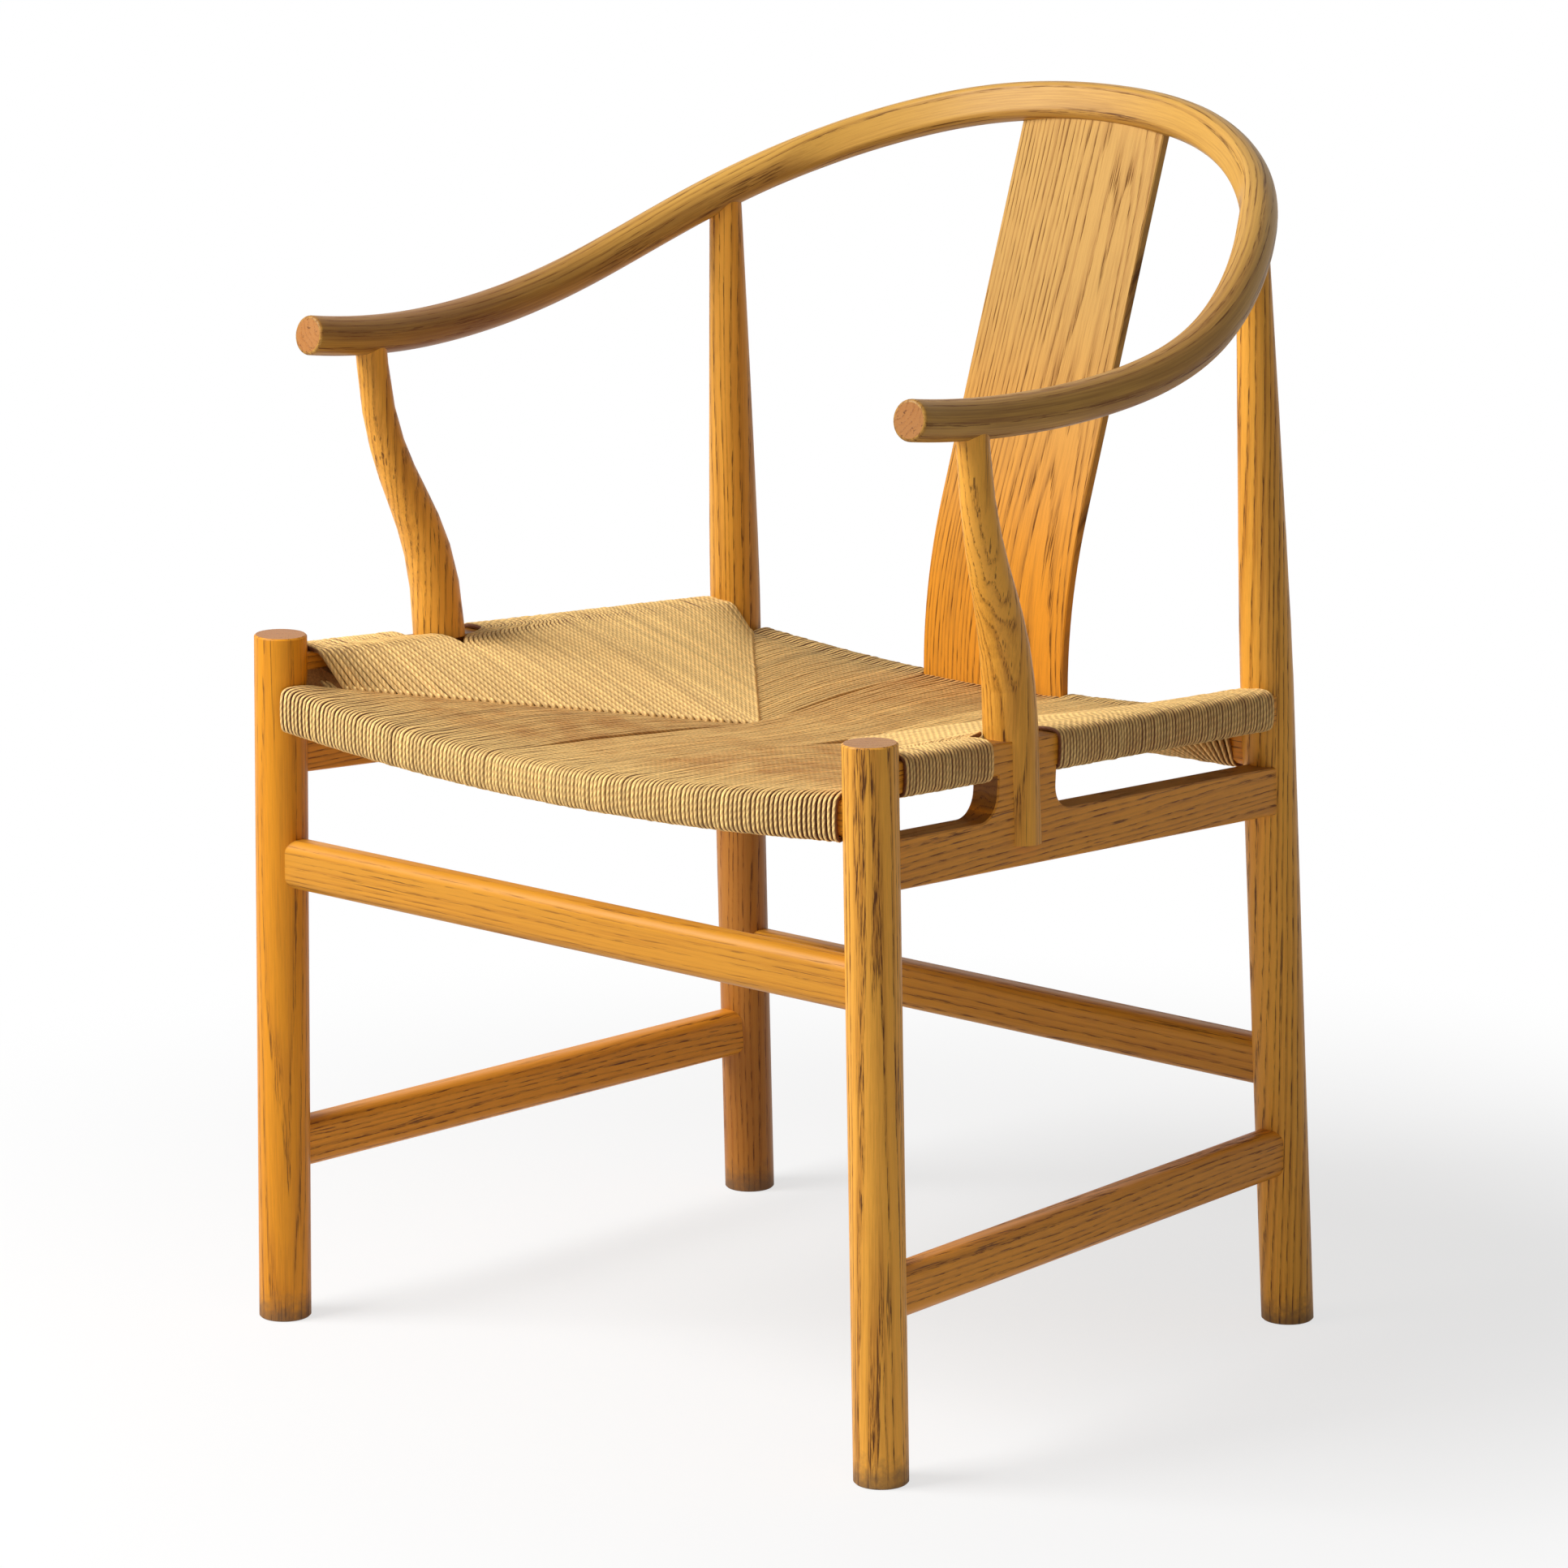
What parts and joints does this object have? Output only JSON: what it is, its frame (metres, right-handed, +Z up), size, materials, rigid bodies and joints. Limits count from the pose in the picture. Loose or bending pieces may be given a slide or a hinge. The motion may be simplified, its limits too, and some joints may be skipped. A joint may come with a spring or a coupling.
{
  "type": "horseshoe back armchair",
  "caption": "Wooden armchair with a bent horseshoe arm and back rail, a curved back splat, round legs and a woven cord seat.",
  "frame": {"origin": "on the floor, in the middle of the chair's width and depth", "axes": "+Z up, the chair faces -Y, +X towards the sitter's left"},
  "size_m": [0.5536, 0.5558, 0.78],
  "materials": {
    "frame_wood": "oiled and aged, low satin sheen",
    "splat_wood": "oiled and aged, fine straight grain",
    "seat_cord": "twisted paper cord, matt, darkened by use"
  },
  "bodies": {
    "root": {"arm_bow": "frame_wood", "back_splat": "splat_wood", "front_seat_rail": "frame_wood", "back_seat_rail": "frame_wood", "front_stretcher": "frame_wood", "back_stretcher": "frame_wood", "seat_weave": "seat_cord", "front_leg_left": "frame_wood", "front_leg_right": "frame_wood", "rear_leg_left": "frame_wood", "rear_leg_right": "frame_wood", "arm_support_left": "frame_wood", "arm_support_right": "frame_wood", "side_apron_left": "frame_wood", "side_apron_right": "frame_wood", "side_stretcher_left": "frame_wood", "side_stretcher_right": "frame_wood"}
  },
  "joints": []
}
